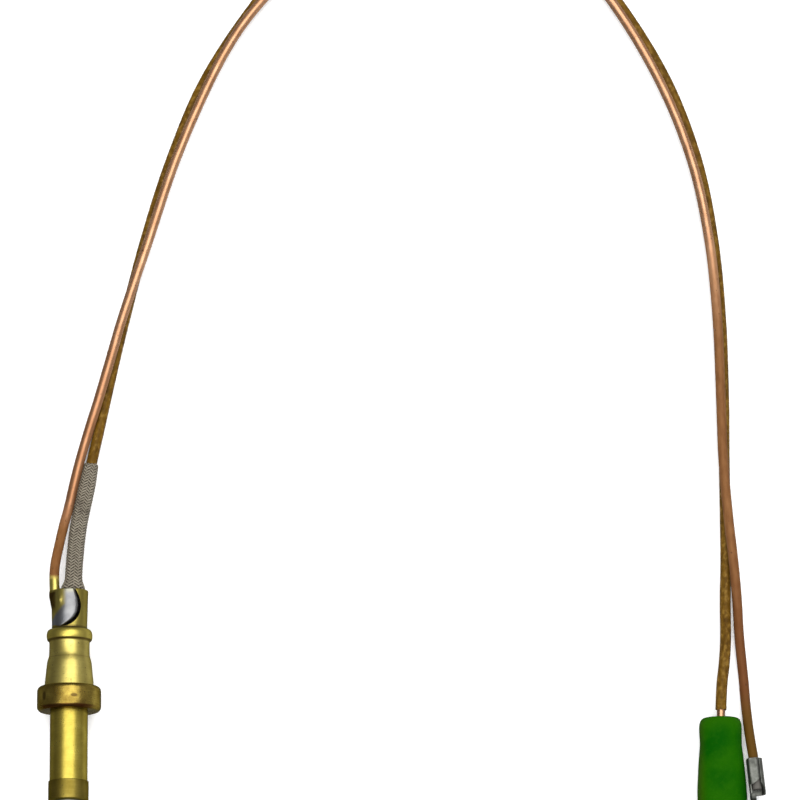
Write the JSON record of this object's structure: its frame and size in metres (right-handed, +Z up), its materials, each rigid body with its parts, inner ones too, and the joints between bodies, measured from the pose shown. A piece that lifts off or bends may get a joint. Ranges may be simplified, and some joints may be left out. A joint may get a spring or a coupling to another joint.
{
  "type": "thermocouple",
  "caption": "Gas-hob thermocouple: a turned brass head with a hot tip, a bare copper lead ending in a tab and a sleeved lead ending in a booted receptacle.",
  "frame": {"origin": "on the surface the part lies on, under the middle of the head's length", "axes": "+Y along the head's axis from the hot tip to the cup where the leads enter; +X towards the terminals, in the plane the part lies on; +Z up from that plane"},
  "size_m": [0.1157, 0.1656, 0.0102],
  "materials": {
    "brass": "turned brass, lightly tarnished",
    "shank_brass": "drawn brass tube, polished by handling",
    "collar_brass": "dull, heat-tinted brass",
    "ferrule_brass": "dull brass",
    "tip_alloy": "nickel-chromium alloy, heat-dulled",
    "weld": "weld metal, matt grey",
    "rod_alloy": "copper-nickel alloy, clean",
    "insulation": "pale ceramic and glass insulation",
    "solder": "soft solder, smooth and bright",
    "braze": "brazing alloy with a scorched skin",
    "copper": "bare copper wire, aged brown with small dark pits",
    "varnish": "amber varnished glass sleeving",
    "glass_braid": "fine glass-fibre braid",
    "boot_green": "soft vinyl, satin",
    "terminal_brass": "stamped brass sheet",
    "tinned": "tinned brass sheet, slightly stained"
  },
  "bodies": {
    "head": {"upper_body": "brass", "shank_tube": "shank_brass", "collar": "collar_brass", "tip_ferrule": "ferrule_brass", "hot_tip": "tip_alloy", "hot_junction": "weld", "inner_rod": "rod_alloy", "tip_insulator": "insulation", "splice_sleeve": "copper", "splice_insulator": "insulation", "lead_bush": "insulation", "solder_fill": "solder", "braze_fillet": "braze", "copper_lead": "copper", "lead_core": "copper", "lead_sleeve": "varnish", "braided_sleeve": "glass_braid", "receptacle": "terminal_brass", "tab_terminal": "tinned"},
    "boot": {"boot": "boot_green"}
  },
  "joints": [
    {"name": "boot_slide", "type": "slide", "parent": "head", "child": "boot", "axis": [0, 1, 0], "range_m": [0, 0.0045]}
  ]
}
